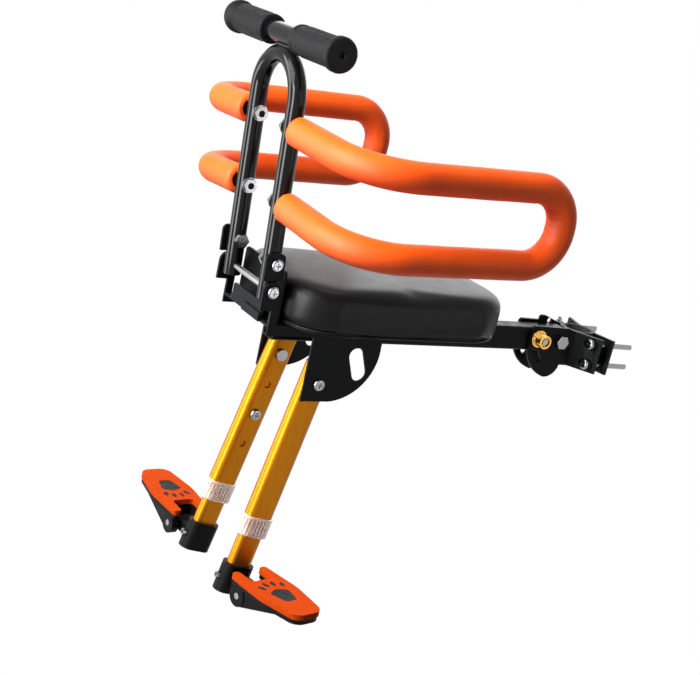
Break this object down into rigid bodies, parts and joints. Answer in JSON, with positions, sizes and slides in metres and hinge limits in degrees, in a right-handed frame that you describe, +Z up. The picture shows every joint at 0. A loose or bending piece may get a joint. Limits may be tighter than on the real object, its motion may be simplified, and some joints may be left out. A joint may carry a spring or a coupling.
{
  "type": "child bike seat",
  "caption": "Folding child bike seat with padded side guards, a handlebar with grips, a cushion on a folded bracket, telescopic legs with foot pedals and a seatpost clamp.",
  "frame": {"origin": "centre of the seatpost bore of the clamp, half-way up its jaws", "axes": "+X to the rear of the bicycle, +Y to its right side, +Z up"},
  "size_m": [0.4661, 0.3402, 0.5255],
  "materials": {
    "black_paint": "gloss black paint",
    "black_sheet": "satin black paint on folded sheet",
    "grip_rubber": "ribbed dark grey rubber",
    "orange_foam": "matte orange foam sleeve",
    "zinc": "bright zinc",
    "rod_steel": "plain steel",
    "cushion_cover": "black grained leatherette",
    "board": "black board",
    "gold_tube": "gold anodised, satin",
    "clear_plastic": "milky clear ribbed plastic",
    "black_plastic": "black moulded plastic",
    "orange_plastic": "orange moulded plastic",
    "liner_rubber": "black rubber",
    "brass": "gold anodised knob"
  },
  "bodies": {
    "clamp": {"clamp_front_jaw": "black_sheet", "clamp_rear_jaw": "black_sheet", "front_jaw_liner": "liner_rubber", "rear_jaw_liner": "liner_rubber", "clamp_bolts": "zinc", "clamp_nuts": "zinc", "tilt_bolt": "zinc", "tilt_nut": "zinc"},
    "plunger": {"lock_knob": "brass", "lock_pin": "rod_steel", "lock_spring": "rod_steel"},
    "seat": {"base_tube": "black_sheet", "lock_bush": "rod_steel", "seat_bracket": "black_sheet", "seat_cushion": "cushion_cover", "cushion_board": "board", "board_screws": "zinc", "pivot_rod": "rod_steel", "pivot_screws": "zinc", "left_leg_screw": "zinc", "right_leg_screw": "zinc"},
    "handrail": {"u_frame": "black_paint", "left_grip": "grip_rubber", "right_grip": "grip_rubber", "left_guard_tube": "black_paint", "right_guard_tube": "black_paint", "left_guard_foam": "orange_foam", "right_guard_foam": "orange_foam", "guard_studs": "zinc", "guard_nuts": "zinc", "left_hinge_cheek": "black_sheet", "right_hinge_cheek": "black_sheet", "lock_screws": "zinc", "lock_nuts": "zinc"},
    "left_leg": {"left_leg_tube": "gold_tube", "left_leg_bush": "clear_plastic", "left_leg_lock": "zinc"},
    "left_shin": {"left_leg_inner": "gold_tube", "left_pedal_collar": "black_plastic", "left_collar_screw": "zinc"},
    "left_pedal": {"left_pedal_pad": "orange_plastic", "left_pedal_tray": "black_plastic", "left_pedal_pin": "rod_steel"},
    "right_leg": {"right_leg_tube": "gold_tube", "right_leg_bush": "clear_plastic", "right_leg_lock": "zinc"},
    "right_shin": {"right_leg_inner": "gold_tube", "right_pedal_collar": "black_plastic", "right_collar_screw": "zinc"},
    "right_pedal": {"right_pedal_pad": "orange_plastic", "right_pedal_tray": "black_plastic", "right_pedal_pin": "rod_steel"}
  },
  "joints": [
    {"name": "seat_tilt", "type": "hinge", "parent": "clamp", "child": "seat", "pos_m": [-0.031, 0, 0.0075], "axis": [0, -1, 0], "range_deg": [0, 45]},
    {"name": "lock_pull", "type": "slide", "parent": "seat", "child": "plunger", "axis": [0, -1, 0], "range_m": [0, 0.004], "stiffness_N_per_m": 500, "springref_m": -0.002},
    {"name": "handrail_fold", "type": "hinge", "parent": "seat", "child": "handrail", "pos_m": [-0.391, 0, 0.052], "axis": [0, -1, 0], "range_deg": [0, 75]},
    {"name": "left_leg_swing", "type": "hinge", "parent": "seat", "child": "left_leg", "pos_m": [-0.326, -0.037, -0.032], "axis": [0, 1, 0], "range_deg": [-25, 25]},
    {"name": "left_leg_extend", "type": "slide", "parent": "left_leg", "child": "left_shin", "axis": [-0.2011, 0, -0.9796], "range_m": [-0.025, 0.031]},
    {"name": "left_pedal_fold", "type": "hinge", "parent": "left_shin", "child": "left_pedal", "pos_m": [-0.36028, -0.06683, -0.22987], "axis": [-0.9781, -0.2079, 0], "range_deg": [0, 80]},
    {"name": "right_leg_swing", "type": "hinge", "parent": "seat", "child": "right_leg", "pos_m": [-0.326, 0.037, -0.032], "axis": [0, 1, 0], "range_deg": [-26.6, 23.4]},
    {"name": "right_leg_extend", "type": "slide", "parent": "right_leg", "child": "right_shin", "axis": [-0.2284, 0, -0.9736], "range_m": [-0.02, 0.036]},
    {"name": "right_pedal_fold", "type": "hinge", "parent": "right_shin", "child": "right_pedal", "pos_m": [-0.37311, 0.06743, -0.2238], "axis": [0.9976, 0.0698, 0], "range_deg": [0, 80]}
  ]
}
